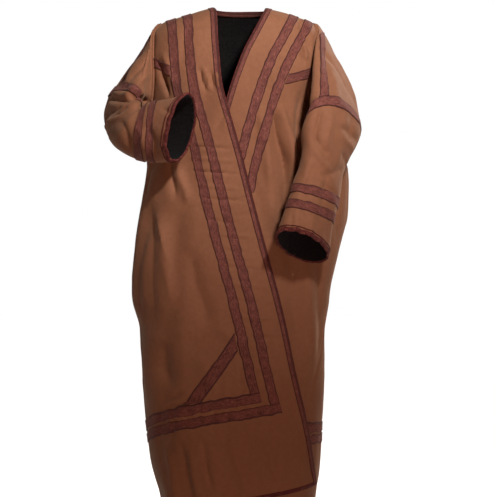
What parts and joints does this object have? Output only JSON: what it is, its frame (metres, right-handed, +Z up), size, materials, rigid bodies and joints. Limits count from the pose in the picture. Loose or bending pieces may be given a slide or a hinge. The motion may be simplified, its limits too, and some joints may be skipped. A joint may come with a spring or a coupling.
{
  "type": "farwa coat",
  "caption": "Long collarless wrap coat with a V neckline, wide sleeves bent at the elbows, woven braid bands and piped edges, hanging hollow.",
  "frame": {"origin": "centre of the neck opening at shoulder level, where the coat rests on the wearer", "axes": "+Z up along the wearer's spine, -Y the way the wearer faces, +X towards the wearer's left hand"},
  "size_m": [0.7462, 0.4648, 1.4945],
  "materials": {
    "cloth": "brown wool twill, matt with a soft nap",
    "braid": "maroon woven braid, matt",
    "piping": "dark red corded piping, slight sheen",
    "pile": "black short pile lining, matt"
  },
  "bodies": {
    "root": {"front_right": "cloth", "front_left": "cloth", "back": "cloth", "sleeve_right": "cloth", "sleeve_left": "cloth", "cuff_lining_right": "pile", "cuff_lining_left": "pile", "edging_front_right": "braid", "edging_front_left": "braid", "edging_neck_back": "braid", "piping_hem_front_right": "piping", "piping_hem_front_left": "piping", "piping_hem_back": "piping", "piping_cuff_right": "piping", "piping_cuff_left": "piping", "braid_inner_front_right": "braid", "braid_outer_front_right": "braid", "braid_inner_front_left": "braid", "braid_outer_front_left": "braid", "braid_skirt_upper_front_right": "braid", "braid_skirt_upper_back": "braid", "braid_skirt_lower_front_right": "braid", "braid_skirt_lower_back": "braid", "braid_arm_right": "braid", "braid_forearm_upper_right": "braid", "braid_forearm_lower_right": "braid", "braid_crest_right": "braid", "braid_arm_left": "braid", "braid_forearm_upper_left": "braid", "braid_forearm_lower_left": "braid", "braid_crest_left": "braid", "braid_chest_right": "braid", "braid_chest_left": "braid", "braid_slant_right": "braid"}
  },
  "joints": []
}
